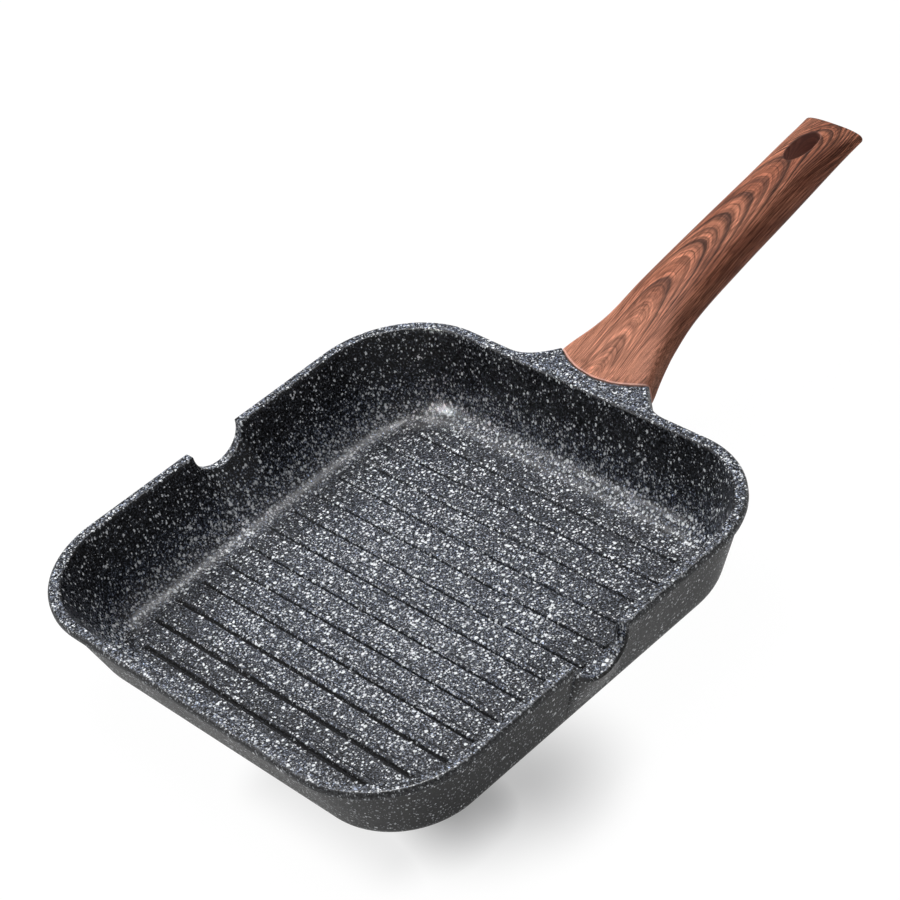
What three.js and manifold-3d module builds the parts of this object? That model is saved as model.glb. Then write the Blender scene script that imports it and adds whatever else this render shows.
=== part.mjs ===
// Square cast grill pan with a fixed handle.
// Millimetres. Origin: centre of the base on the resting plane. +Z up, +Y along the handle.
import * as THREE from "three";
import { mergeVertices } from "three/addons/utils/BufferGeometryUtils.js";
import Module from "manifold-3d";

const wasm = await Module();
wasm.setup();

// Pan casting: overall
const SIDE = 240;
const HEIGHT = 44;
const FLOOR_THICKNESS = 4.3;
const CORNER_RADIUS = 48.9;
const CORNER_SHRINK = 0.77;
const CORNER_STEPS = 9;

// Pan casting: outside wall and base
const WALL_DRAFT = 0.348;
const BASE_FILLET = 14;
const BASE_FILLET_STEPS = 5;
const FLANGE_DROP = 5.5;
const FLANGE_OVERHANG = 0.5;
const RIM_ROUND = 1.3;

// Pan casting: inside
const RIM_WIDTH = 5.2;
const INNER_ROUND = 1.0;
const INNER_DRAFT = 0.3365;
const FLOOR_FILLET = 14;
const FLOOR_FILLET_STEPS = 6;

// Pouring lips in the two side walls
const LIP_RADIUS = 14.2;
const LIP_DEPTH = 13.2;
const LIP_DROP = 0.8;
const LIP_REACH = 31;
const LIP_STEPS = 12;

// Griddle ribs
const RIB_COUNT = 13;
const RIB_PITCH = 14;
const RIB_HEIGHT = 1.2;
const RIB_TOP = 2.8;
const RIB_FOOT = 4.2;
const RIB_REACH = 91.2;
const RIB_ROOT = 1.5;
const RIB_END_MARGIN = 1.0;

// Stub that carries the handle
const STUB_HALF_WIDTH = 26.3;
const STUB_FLARE = 20;
const STUB_FLARE_POWER = 2.1;
const STUB_DEPTH = 13.8;
const STUB_GUSSET = 26;
const STUB_UPRIGHT = 4;
const JOINT_Y = 124.4;
const JOINT_RADIUS = 43.6;
const JOINT_GAP = 0.3;

// Tang inside the handle
const TANG_HIGH = 0.62;
const TANG_WIDTH = 25;
const TANG_THICKNESS = 5.6;
const TANG_START_Y = 117.5;
const TANG_END_Y = 182;
const TANG_TAPER = 0.72;
const SOCKET_CLEARANCE = 0.3;
const SOCKET_END_CLEARANCE = 1;

// Handle: station along Y, half width, top, underside, squareness; heights above the rim
const HANDLE_STATIONS = [
  [124.4, 26.9, 0.6, -14.2, 6.0],
  [133.0, 26.3, 2.0, -13.4, 6.0],
  [145.0, 22.6, 5.6, -11.0, 4.0],
  [157.0, 19.5, 9.6, -7.6, 3.1],
  [177.0, 17.3, 17.0, -1.8, 2.6],
  [211.0, 15.8, 24.4, 3.7, 2.4],
  [250.0, 14.7, 30.8, 9.8, 2.4],
  [280.0, 15.0, 33.8, 17.2, 2.5],
  [299.0, 16.8, 32.5, 24.5, 2.4],
];
const HANDLE_END_Y = 298.6;
const HANDLE_END_ROUND = 0.8;
const HANDLE_END_BOW = 0.6;
const HANDLE_RINGS = 32;
const HANDLE_POINTS = 32;
const JOINT_FADE_Y = 152;

// Hanging hole
const HANG_Y = 276;
const HANG_LENGTH = 23.4;
const HANG_WIDTH = 10.4;
const HANG_FLARE = 0.8;
const HANG_FLARE_DEPTH = 1.2;
const HANG_POINTS = 28;

// Fixing screw from below
const SCREW_Y = 164;
const SCREW_RADIUS = 2.5;
const SCREW_HEAD_RADIUS = 4.4;
const SCREW_HEAD_HEIGHT = 2.4;
const SCREW_TIP_CHAMFER = 0.6;
const SCREW_CLEARANCE = 0.3;
const CROSS_LENGTH = 5;
const CROSS_WIDTH = 1.1;
const CROSS_DEPTH = 1.5;
const SEAT_WALL = 1.8;
const STACK_GAP = 0.25;
const FLAT_WASHER_RADIUS = 4.9;
const FLAT_WASHER_THICKNESS = 0.8;
const SPRING_WASHER_RADIUS = 4.3;
const SPRING_WASHER_THICKNESS = 1.1;
const SPRING_WASHER_SPLIT = 0.9;
const POCKET_RADIUS = 5.3;
const TURNED_STEPS = 28;

// Slack for cutters that pass right through
const OVERCUT = 4;

// Solid from a closed geometry
function solid(geometry) {
  const bare = geometry.clone();
  bare.deleteAttribute("normal");
  bare.deleteAttribute("uv");
  const merged = mergeVertices(bare, 1e-4);
  return new wasm.Manifold(
    new wasm.Mesh({
      numProp: 3,
      vertProperties: new Float32Array(merged.attributes.position.array),
      triVerts: new Uint32Array(merged.index.array),
    }),
  );
}

// Geometry from a solid
function geometryOf(body) {
  const mesh = body.getMesh();
  const geometry = new THREE.BufferGeometry();
  geometry.setAttribute("position", new THREE.BufferAttribute(new Float32Array(mesh.vertProperties), 3));
  geometry.setIndex(new THREE.BufferAttribute(new Uint32Array(mesh.triVerts), 1));
  geometry.computeVertexNormals();
  return geometry;
}

// Closed skin over rings that all have the same number of points, given in order along the skin
function loft(rings, startCap, endCap) {
  const count = rings[0].length;
  const positions = [];
  const index = [];
  for (const ring of rings) {
    for (const p of ring) {
      positions.push(p.x, p.y, p.z);
    }
  }
  for (let r = 0; r + 1 < rings.length; r++) {
    for (let i = 0; i < count; i++) {
      const j = (i + 1) % count;
      const a = r * count + i;
      const b = r * count + j;
      const c = a + count;
      const d = b + count;
      index.push(a, b, d, a, d, c);
    }
  }
  const last = (rings.length - 1) * count;
  startCap(index, positions, 0, count, false);
  endCap(index, positions, last, count, true);
  const geometry = new THREE.BufferGeometry();
  geometry.setAttribute("position", new THREE.Float32BufferAttribute(positions, 3));
  geometry.setIndex(index);
  return geometry;
}

// Flat cap: a fan about the middle of the ring
function fanCap(index, positions, first, count, forward) {
  const middle = new THREE.Vector3();
  for (let i = 0; i < count; i++) {
    middle.x += positions[3 * (first + i)] / count;
    middle.y += positions[3 * (first + i) + 1] / count;
    middle.z += positions[3 * (first + i) + 2] / count;
  }
  const hub = positions.length / 3;
  positions.push(middle.x, middle.y, middle.z);
  for (let i = 0; i < count; i++) {
    const a = first + i;
    const b = first + ((i + 1) % count);
    if (forward) {
      index.push(a, b, hub);
    } else {
      index.push(b, a, hub);
    }
  }
}

// Curved cap: strips between the upper and lower points at the same distance across
function stripCap(index, positions, first, count, forward) {
  const half = count / 2;
  for (let i = 0; i < half; i++) {
    const a = first + i;
    const b = first + i + 1;
    const c = first + ((count - i) % count);
    const d = first + count - i - 1;
    const faces = [];
    if (i > 0) {
      faces.push([a, b, c]);
    }
    if (i < half - 1) {
      faces.push([b, d, c]);
    }
    for (const f of faces) {
      if (forward) {
        index.push(f[0], f[1], f[2]);
      } else {
        index.push(f[1], f[0], f[2]);
      }
    }
  }
}

// Smooth value of one column of a table at a given station
function along(table, column, y) {
  const last = table.length - 1;
  if (y <= table[0][0]) {
    return table[0][column];
  }
  if (y >= table[last][0]) {
    return table[last][column];
  }
  let k = 0;
  while (y > table[k + 1][0]) {
    k++;
  }
  const slope = (i) => {
    const lo = Math.max(0, i - 1);
    const hi = Math.min(last, i + 1);
    return (table[hi][column] - table[lo][column]) / (table[hi][0] - table[lo][0]);
  };
  const span = table[k + 1][0] - table[k][0];
  const t = (y - table[k][0]) / span;
  const t2 = t * t;
  const t3 = t2 * t;
  return (
    (2 * t3 - 3 * t2 + 1) * table[k][column] +
    (t3 - 2 * t2 + t) * span * slope(k) +
    (3 * t2 - 2 * t3) * table[k + 1][column] +
    (t3 - t2) * span * slope(k + 1)
  );
}

// Depth of the joint's bow at a distance from the middle plane
function bow(x, radius) {
  return radius - Math.sqrt(Math.max(0, radius * radius - x * x));
}

// Stations round the pan, counter-clockwise from the middle of the right side
function panStations() {
  const stations = [];
  const lip = [];
  for (let i = 0; i <= LIP_STEPS; i++) {
    const turn = -Math.PI / 2 + (Math.PI * i) / LIP_STEPS;
    lip.push({ offset: LIP_RADIUS * Math.sin(turn), drop: LIP_DROP + LIP_DEPTH * Math.cos(turn) });
  }
  const side = [{ offset: -LIP_RADIUS - 0.4, drop: 0 }, ...lip, { offset: LIP_RADIUS + 0.4, drop: 0 }];
  const joint = [0, 7, 13, 18, 22, 24.6];
  const flare = [0, 0.04, 0.13, 0.27, 0.45, 0.7, 1];
  const across = [];
  for (const x of joint) {
    across.push({ offset: x, push: JOINT_Y - JOINT_GAP + bow(x, JOINT_RADIUS + JOINT_GAP) - SIDE / 2 });
  }
  const full = JOINT_Y - JOINT_GAP + bow(STUB_HALF_WIDTH, JOINT_RADIUS + JOINT_GAP) - SIDE / 2;
  for (const t of flare) {
    across.push({ offset: STUB_HALF_WIDTH + STUB_FLARE * t, push: full * Math.pow(1 - t, STUB_FLARE_POWER) });
  }
  const back = [];
  for (let i = across.length - 1; i > 0; i--) {
    back.push({ offset: -across[i].offset, push: across[i].push });
  }
  const stub = [...back, ...across];
  const corner = (quadrant) => {
    for (let i = 0; i <= CORNER_STEPS; i++) {
      stations.push({ quadrant, turn: ((quadrant + i / CORNER_STEPS) * Math.PI) / 2 });
    }
  };
  for (const s of side) {
    stations.push({ face: 0, ...s });
  }
  corner(0);
  for (const s of [...stub].reverse()) {
    stations.push({ face: 1, ...s });
  }
  corner(1);
  for (const s of [...side].reverse()) {
    stations.push({ face: 2, ...s });
  }
  corner(2);
  stations.push({ face: 3, offset: 0 });
  corner(3);
  return stations;
}

// Point of one level of the pan's skin; half size, height below the rim, and whether it lies outside
function panPoint(station, half, below, outside) {
  const radius = CORNER_RADIUS - CORNER_SHRINK * (SIDE / 2 - half);
  const straight = half - radius;
  const drop = station.drop || 0;
  const reach = Math.max(0, 1 + below / LIP_REACH);
  const low = below - drop * reach * reach * (3 - 2 * reach);
  const z = HEIGHT + low;
  if (station.face === undefined) {
    const middle = ((station.quadrant + 0.5) * Math.PI) / 2;
    const cx = straight * Math.sign(Math.cos(middle));
    const cy = straight * Math.sign(Math.sin(middle));
    return new THREE.Vector3(cx + radius * Math.cos(station.turn), cy + radius * Math.sin(station.turn), z);
  }
  if (station.face === 0) {
    return new THREE.Vector3(half, station.offset, z);
  }
  if (station.face === 2) {
    return new THREE.Vector3(-half, station.offset, z);
  }
  if (station.face === 3) {
    return new THREE.Vector3(station.offset, -half, z);
  }
  let push = 0;
  if (outside) {
    const fade = (below + STUB_GUSSET) / (STUB_GUSSET - STUB_DEPTH);
    const share = Math.pow(Math.min(1, Math.max(0, fade)), 1.6);
    const upright = below < -RIM_ROUND ? Math.min(1, station.push / STUB_UPRIGHT) : 0;
    push = share * (station.push + upright * (SIDE / 2 - half));
  }
  return new THREE.Vector3(station.offset, half + (station.push > 0.01 ? push : 0), z);
}

// Levels of the pan's skin: base, outside, rim, inside and floor
function panLevels() {
  const levels = [];
  const slope = Math.atan(WALL_DRAFT);
  const wall = (below) => SIDE / 2 - FLANGE_OVERHANG + WALL_DRAFT * below;
  const centre = BASE_FILLET - HEIGHT;
  const axis = wall(centre) - BASE_FILLET / Math.cos(slope);
  for (let i = 0; i <= BASE_FILLET_STEPS; i++) {
    const turn = -Math.PI / 2 + ((Math.PI / 2 - slope) * i) / BASE_FILLET_STEPS;
    levels.push([axis + BASE_FILLET * Math.cos(turn), centre + BASE_FILLET * Math.sin(turn), true]);
  }
  for (const below of [-STUB_GUSSET, -22.4, -19.4, -17, -15.2, -STUB_DEPTH, -9]) {
    levels.push([wall(below), below, true]);
  }
  levels.push([wall(-FLANGE_DROP), -FLANGE_DROP, true]);
  levels.push([SIDE / 2 - 0.5, -FLANGE_DROP + 1.2, true]);
  levels.push([SIDE / 2, -FLANGE_DROP + 2.4, true]);
  levels.push([SIDE / 2, -RIM_ROUND, true]);
  levels.push([SIDE / 2 - 0.3 * RIM_ROUND, -0.3 * RIM_ROUND, true]);
  levels.push([SIDE / 2 - RIM_ROUND, 0, true]);
  const inner = SIDE / 2 - RIM_WIDTH;
  levels.push([inner + INNER_ROUND, 0, false]);
  levels.push([inner + 0.25 * INNER_ROUND, -0.3 * INNER_ROUND, false]);
  levels.push([inner - INNER_DRAFT * INNER_ROUND, -INNER_ROUND, false]);
  const innerSlope = Math.atan(INNER_DRAFT);
  const floor = FLOOR_THICKNESS - HEIGHT;
  const floorCentre = floor + FLOOR_FILLET;
  const innerWall = (below) => inner + INNER_DRAFT * below;
  for (const below of [-8, -16]) {
    levels.push([innerWall(below), below, false]);
  }
  const floorAxis = innerWall(floorCentre) - FLOOR_FILLET / Math.cos(innerSlope);
  for (let i = 0; i <= FLOOR_FILLET_STEPS; i++) {
    const turn = -innerSlope - ((Math.PI / 2 - innerSlope) * i) / FLOOR_FILLET_STEPS;
    levels.push([
      floorAxis + FLOOR_FILLET * Math.cos(turn),
      floorCentre + FLOOR_FILLET * Math.sin(turn),
      false,
    ]);
  }
  return { levels, floorHalf: floorAxis };
}

// One rib: a long stadium that narrows from foot to top
function ribGeometry(y, reach) {
  const floor = FLOOR_THICKNESS;
  const rows = [
    [RIB_FOOT / 2, -RIB_ROOT],
    [RIB_FOOT / 2, 0],
    [RIB_TOP / 2 + 0.35, 0.62 * RIB_HEIGHT],
    [RIB_TOP / 2, 0.9 * RIB_HEIGHT],
    [RIB_TOP / 2 - 0.45, RIB_HEIGHT],
  ];
  const rings = rows.map(([half, up]) => {
    const ring = [];
    for (const end of [1, -1]) {
      for (let i = 0; i <= 6; i++) {
        const turn = (end > 0 ? -Math.PI / 2 : Math.PI / 2) + (Math.PI * i) / 6;
        const cx = end * (reach - RIB_FOOT / 2);
        ring.push(new THREE.Vector3(cx + half * Math.cos(turn), y + half * Math.sin(turn), floor + up));
      }
    }
    return ring;
  });
  return loft(rings, fanCap, fanCap);
}

// Middle height of the handle at a station, in the part's frame
function handleMiddle(y) {
  const top = along(HANDLE_STATIONS, 2, y);
  const under = along(HANDLE_STATIONS, 3, y);
  return HEIGHT + TANG_HIGH * top + (1 - TANG_HIGH) * under;
}

// Tang, or the socket that holds it when grown by a clearance
function tangGeometry(grow, startY, endY) {
  const rings = [];
  const steps = 9;
  for (let k = 0; k <= steps; k++) {
    const y = startY + ((endY - startY) * k) / steps;
    const share = Math.max(0, (y - JOINT_Y) / (TANG_END_Y - JOINT_Y));
    const half = (TANG_WIDTH / 2) * (1 - (1 - TANG_TAPER) * share) + grow;
    const thick = TANG_THICKNESS / 2 + grow;
    const z = handleMiddle(Math.max(y, JOINT_Y));
    const round = Math.min(thick, half) * 0.55;
    const shape = new THREE.Shape();
    shape.absarc(half - round, -thick + round, round, -Math.PI / 2, 0);
    shape.absarc(half - round, thick - round, round, 0, Math.PI / 2);
    shape.absarc(-half + round, thick - round, round, Math.PI / 2, Math.PI);
    shape.absarc(-half + round, -thick + round, round, Math.PI, 1.5 * Math.PI);
    const outline = shape.getPoints(3);
    const ring = outline.map((p) => new THREE.Vector3(p.x, y, z + p.y));
    rings.push(ring.reverse());
  }
  return loft(rings, fanCap, fanCap);
}

// Screw axis: a frame whose local Z points up out of the tang, square to it
function screwFrame() {
  const step = 1;
  const rise = handleMiddle(SCREW_Y + step) - handleMiddle(SCREW_Y - step);
  const tilt = Math.atan2(rise, 2 * step);
  const frame = new THREE.Matrix4().makeRotationX(tilt);
  frame.setPosition(0, SCREW_Y, handleMiddle(SCREW_Y));
  return frame;
}

// Turned piece about local Z from radius and height pairs that close on the axis
function turned(pairs, frame) {
  const points = pairs.map(([r, z]) => new THREE.Vector2(r, z));
  const geometry = new THREE.LatheGeometry(points, TURNED_STEPS);
  geometry.rotateX(Math.PI / 2);
  return geometry.applyMatrix4(frame);
}

// Solid cylinder about local Z between two heights
function post(radius, from, to, frame) {
  const geometry = new THREE.CylinderGeometry(radius, radius, to - from, TURNED_STEPS);
  geometry.rotateX(Math.PI / 2);
  geometry.translate(0, 0, (from + to) / 2);
  return geometry.applyMatrix4(frame);
}

// Pan casting with ribs and tang
function panBody(frame) {
  const { levels, floorHalf } = panLevels();
  const stations = panStations();
  const rings = levels.map(([half, below, outside]) =>
    stations.map((station) => panPoint(station, half, below, outside)),
  );
  let body = solid(loft(rings, fanCap, fanCap));
  const floorRadius = CORNER_RADIUS - CORNER_SHRINK * (SIDE / 2 - floorHalf);
  const straight = floorHalf - floorRadius;
  for (let i = 0; i < RIB_COUNT; i++) {
    const y = (i - (RIB_COUNT - 1) / 2) * RIB_PITCH;
    const over = Math.max(0, Math.abs(y) + RIB_FOOT / 2 - straight);
    const limit = straight + Math.sqrt(Math.max(0, floorRadius * floorRadius - over * over));
    const reach = Math.min(RIB_REACH, limit - RIB_END_MARGIN);
    body = body.add(solid(ribGeometry(y, reach)));
  }
  const tang = solid(tangGeometry(0, TANG_START_Y, TANG_END_Y));
  body = body.add(tang);
  const tapped = post(SCREW_RADIUS + SCREW_CLEARANCE, -TANG_THICKNESS, TANG_THICKNESS, frame);
  return geometryOf(body.subtract(solid(tapped)));
}

// Ring of the handle at a station, fitted to the bowed joint at the pan end
function handleRing(y, shrink) {
  const fade = Math.max(0, 1 - (y - JOINT_Y) / (JOINT_FADE_Y - JOINT_Y));
  const reach = along(HANDLE_STATIONS, 1, y + fade * bow(STUB_HALF_WIDTH, JOINT_RADIUS)) - shrink;
  const endShare = Math.max(0, (y - HANG_Y) / (HANDLE_END_Y - HANG_Y));
  const ring = [];
  for (let i = 0; i < HANDLE_POINTS; i++) {
    const turn = (2 * Math.PI * i) / HANDLE_POINTS;
    const c = Math.cos(turn);
    const s = Math.sin(turn);
    const square = along(HANDLE_STATIONS, 4, y);
    const x = reach * Math.sign(c) * Math.pow(Math.abs(c), 2 / square);
    const at = y + fade * bow(x, JOINT_RADIUS) + HANDLE_END_BOW * endShare * endShare * (x / reach) ** 2;
    const top = along(HANDLE_STATIONS, 2, at) - shrink;
    const under = along(HANDLE_STATIONS, 3, at) + shrink;
    const up = Math.sign(s) * Math.pow(Math.abs(s), 2 / square);
    ring.push(new THREE.Vector3(x, at, HEIGHT + (top + under) / 2 + ((top - under) / 2) * up));
  }
  return ring.reverse();
}

// Oval opening for hanging, wider where it breaks the surface
function hangGeometry() {
  const top = HEIGHT + along(HANDLE_STATIONS, 2, HANG_Y);
  const under = HEIGHT + along(HANDLE_STATIONS, 3, HANG_Y);
  const rows = [
    [under - 2 * OVERCUT, HANG_FLARE],
    [under, HANG_FLARE],
    [under + HANG_FLARE_DEPTH + 1, 0],
    [top - HANG_FLARE_DEPTH - 1, 0],
    [top, HANG_FLARE],
    [top + OVERCUT, HANG_FLARE],
  ];
  const rings = rows.map(([z, grow]) => {
    const oval = new THREE.EllipseCurve(0, HANG_Y, HANG_WIDTH / 2 + grow, HANG_LENGTH / 2 + grow);
    return oval.getPoints(HANG_POINTS).slice(0, -1).map((p) => new THREE.Vector3(p.x, p.y, z));
  });
  return loft(rings, fanCap, fanCap);
}

// Heights of the screw stack below the tang's middle, along the screw axis
const SEAT = -TANG_THICKNESS / 2 - SOCKET_CLEARANCE - SEAT_WALL;
const FLAT_TOP = SEAT - STACK_GAP;
const FLAT_LOW = FLAT_TOP - FLAT_WASHER_THICKNESS;
const SPRING_TOP = FLAT_LOW - STACK_GAP;
const SPRING_LOW = SPRING_TOP - SPRING_WASHER_THICKNESS;
const HEAD_TOP = SPRING_LOW - STACK_GAP;
const HEAD_LOW = HEAD_TOP - SCREW_HEAD_HEIGHT;

// Handle moulding with socket, hanging hole and screw pocket
function handleBody(frame) {
  const rings = [];
  for (let k = 0; k <= HANDLE_RINGS; k++) {
    const share = k / HANDLE_RINGS;
    const y = JOINT_Y + (HANDLE_END_Y - HANDLE_END_ROUND - JOINT_Y) * (0.55 * share + 0.45 * share * share);
    rings.push(handleRing(y, 0));
  }
  rings.push(handleRing(HANDLE_END_Y - 0.4 * HANDLE_END_ROUND, 0.35 * HANDLE_END_ROUND));
  rings.push(handleRing(HANDLE_END_Y, HANDLE_END_ROUND));
  let body = solid(loft(rings, stripCap, stripCap));
  const socketEnd = TANG_END_Y + SOCKET_END_CLEARANCE;
  body = body.subtract(solid(tangGeometry(SOCKET_CLEARANCE, JOINT_Y - OVERCUT, socketEnd)));
  body = body.subtract(solid(hangGeometry()));
  const clearance = post(SCREW_RADIUS + SCREW_CLEARANCE, SEAT - OVERCUT, 0, frame);
  body = body.subtract(solid(clearance));
  const pocket = post(POCKET_RADIUS, HEAD_LOW - 2 * OVERCUT, SEAT, frame);
  return geometryOf(body.subtract(solid(pocket)));
}

// Pan-head screw with a cross recess
function screwBody(frame) {
  const tip = TANG_THICKNESS / 2 - STACK_GAP;
  const profile = [
    [0, HEAD_LOW],
    [0.55 * SCREW_HEAD_RADIUS, HEAD_LOW + 0.1],
    [0.88 * SCREW_HEAD_RADIUS, HEAD_LOW + 0.6],
    [SCREW_HEAD_RADIUS, HEAD_LOW + 1.5],
    [SCREW_HEAD_RADIUS, HEAD_TOP],
    [SCREW_RADIUS, HEAD_TOP],
    [SCREW_RADIUS, tip - SCREW_TIP_CHAMFER],
    [SCREW_RADIUS - SCREW_TIP_CHAMFER, tip],
    [0, tip],
  ];
  let body = solid(turned(profile, frame));
  for (const turn of [0, Math.PI / 2]) {
    const slot = new THREE.BoxGeometry(CROSS_LENGTH, CROSS_WIDTH, 2 * CROSS_DEPTH);
    slot.rotateZ(turn);
    slot.translate(0, 0, HEAD_LOW);
    slot.applyMatrix4(frame);
    body = body.subtract(solid(slot));
  }
  return geometryOf(body);
}

// Plain washer against the handle
function flatWasher(frame) {
  const ring = solid(post(FLAT_WASHER_RADIUS, FLAT_LOW, FLAT_TOP, frame));
  const hole = solid(post(SCREW_RADIUS + SCREW_CLEARANCE, FLAT_LOW - 1, FLAT_TOP + 1, frame));
  return geometryOf(ring.subtract(hole));
}

// Split spring washer under the screw head
function springWasher(frame) {
  const ring = solid(post(SPRING_WASHER_RADIUS, SPRING_LOW, SPRING_TOP, frame));
  const hole = solid(post(SCREW_RADIUS + SCREW_CLEARANCE, SPRING_LOW - 1, SPRING_TOP + 1, frame));
  const split = new THREE.BoxGeometry(SPRING_WASHER_SPLIT, 2 * SPRING_WASHER_RADIUS, 2 * OVERCUT);
  split.rotateY(0.35);
  split.translate(0, SPRING_WASHER_RADIUS, (SPRING_LOW + SPRING_TOP) / 2);
  split.applyMatrix4(frame);
  return geometryOf(ring.subtract(hole).subtract(solid(split)));
}

const part = new THREE.Group();

// Named mesh with its own material
function piece(name, geometry, color, roughness, metalness) {
  const mesh = new THREE.Mesh(geometry, new THREE.MeshStandardMaterial({ color, roughness, metalness }));
  mesh.name = name;
  part.add(mesh);
}

const screw = screwFrame();
piece("pan_body", panBody(screw), 0x35373a, 0.55, 0.1);
piece("handle", handleBody(screw), 0x7a4533, 0.45, 0);
piece("flat_washer", flatWasher(screw), 0xb9bcc0, 0.3, 1);
piece("spring_washer", springWasher(screw), 0xaeb1b5, 0.35, 1);
piece("fixing_screw", screwBody(screw), 0xc2c4c7, 0.28, 1);

export default part;
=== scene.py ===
"""Looks of a square cast grill pan with a wood-effect handle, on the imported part's frame."""

import math

import bpy
import numpy as np
from mathutils import Matrix, Vector


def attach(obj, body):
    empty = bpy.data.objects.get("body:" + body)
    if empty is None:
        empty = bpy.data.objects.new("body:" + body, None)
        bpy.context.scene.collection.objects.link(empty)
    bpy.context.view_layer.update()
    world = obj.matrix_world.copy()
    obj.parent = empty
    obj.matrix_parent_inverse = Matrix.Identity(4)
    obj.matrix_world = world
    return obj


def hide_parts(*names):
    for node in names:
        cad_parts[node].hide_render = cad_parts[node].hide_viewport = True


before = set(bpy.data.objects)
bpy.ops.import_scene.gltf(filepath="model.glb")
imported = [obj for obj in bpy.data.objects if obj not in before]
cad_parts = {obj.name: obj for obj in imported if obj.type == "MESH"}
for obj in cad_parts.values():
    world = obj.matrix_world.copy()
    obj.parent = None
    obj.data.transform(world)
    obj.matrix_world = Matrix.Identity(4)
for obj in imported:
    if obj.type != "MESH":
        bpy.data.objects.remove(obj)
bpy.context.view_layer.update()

MM = 0.001

# Pan casting, in millimetres; heights are measured down from the rim
SIDE = 240.0
HEIGHT = 44.0
FLOOR_THICKNESS = 4.3
CORNER_RADIUS = 48.9
CORNER_SHRINK = 0.77
WALL_DRAFT = 0.348
BASE_FILLET = 14.0
FLANGE_DROP = 5.5
FLANGE_BAND = 3.1
FLANGE_OVERHANG = 0.5
RIM_ROUND = 1.3
RIM_WIDTH = 5.2
RIM_HALVES = (117.9, 117.2, 116.5)
FLANGE_LEVEL = 2.2
WALL_DEPTHS = (31, 28.5, 26.6, 26, 25, 23.5, 22, 20.5, 19, 17.5)
WALL_DEPTHS += (16.2, 15.2, 14.4, 13.8, 12.6, 11, 9.4, 7.8, 6.4)
INNER_DEPTHS = (2.0, 3.5, 5.5, 8.0, 11.0, 14.0, 17.0, 20.0, 23.0, 26.0, 28.4)
INNER_ROUND = 0.6
INNER_DRAFT = 0.3365
FLOOR_FILLET = 14.0
LIP_RADIUS = 14.2
LIP_DEPTH = 13.2
LIP_ROUND = 0.8
LIP_SIDE = 30.0
LIP_REACH = 31.0
LIP_OUTER_REACH = 34.5
LIP_FADE = 1.6
LIP_SLIVER = 0.04
LIP_SEAM = 0.02
CAP_SHARE = 0.6

# Griddle ribs
RIB_COUNT = 13
RIB_PITCH = 14.0
RIB_REACH = 91.2
RIB_FOOT = 4.2
RIB_END_MARGIN = 1.0
RIB_PROFILE = [
    (2.3, -0.06), (2.1, 0.0), (1.9, 0.05), (1.8, 0.25), (1.7, 0.5), (1.54, 0.72),
    (1.3, 0.9), (0.98, 1.04), (0.64, 1.13), (0.34, 1.18), (0.12, 1.2),
]

# Stub and tang
STUB_HALF_WIDTH = 26.3
STUB_FLARE = 20.0
STUB_FLARE_POWER = 2.1
STUB_DEPTH = 13.8
STUB_GUSSET = 26.0
STUB_UPRIGHT = 4.0
STUB_BLEND = 0.5
STUB_FADE_POWER = 1.6
STUB_PLACES = (0, 3.5, 7, 10.5, 14, 17, 19.5, 21.5, 23, 24.2, 25.1, 25.6, 25.9, 26.1, 26.3, 26.5)
STUB_PLACES += (26.8, 27.2, 27.8, 28.6, 29.6, 30.8, 32.2, 33.8, 35.6, 37.6)
STUB_PLACES += (40, 42.8, 46.3, 52, 60)
JOINT_Y = 124.4
JOINT_RADIUS = 43.6
JOINT_GAP = 0.12
TANG_HIGH = 0.62
TANG_WIDTH = 25.0
TANG_THICKNESS = 5.6
TANG_START_Y = 117.5
TANG_END_Y = 182.0
TANG_TAPER = 0.72
TANG_SIDE_POWER = 0.28
TANG_FACE_POWER = 0.42
TANG_STEPS = 14
TANG_POINTS = 40
SOCKET_CLEARANCE = 0.3
SOCKET_PLACES = (132, 142, 152, 162, 172, TANG_END_Y + 1)

# Handle: station along Y, half width, top, underside, squareness; heights above the rim
HANDLE_STATIONS = [
    (124.4, 26.9, 0.2, -14.2, 6.0),
    (133.0, 26.3, 1.8, -13.4, 6.0),
    (145.0, 22.6, 5.6, -11.0, 4.0),
    (157.0, 19.5, 9.6, -7.6, 3.1),
    (177.0, 17.3, 17.0, -1.8, 2.6),
    (211.0, 15.8, 24.4, 3.7, 2.4),
    (250.0, 14.7, 30.8, 9.8, 2.4),
    (280.0, 15.0, 33.8, 17.2, 2.5),
    (299.0, 16.8, 32.5, 24.5, 2.4),
]
HANDLE_END_Y = 298.6
HANDLE_END_ROUND = 0.8
HANDLE_END_BOW = 0.6
HANDLE_POINTS = 96
HANDLE_ROWS = 118
JOINT_FADE_Y = 152.0
JOINT_EDGE = 0.15
JOINT_DROP = 0.45
HANG_Y = 276.0
HANG_LENGTH = 23.4
HANG_WIDTH = 10.4
HANG_ROUND = 1.0
SCREW_Y = 164.0
POCKET_RADIUS = 5.3
POCKET_ROUND = 0.5
POCKET_SEARCH = 30.0
SEAT_DEPTH = TANG_THICKNESS / 2 + SOCKET_CLEARANCE + 1.8
SCREW_HOLE_RADIUS = 2.8
SCREW_HOLE_DEPTH = 2.6

# Stretches of the handle that are opened for the hanging hole and for the screw pocket
HANG_BLOCK = (259.5, 292.5)
HANG_COLUMNS = 11
POCKET_BLOCK = (156.5, 177.5)
POCKET_COLUMNS = 8

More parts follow.
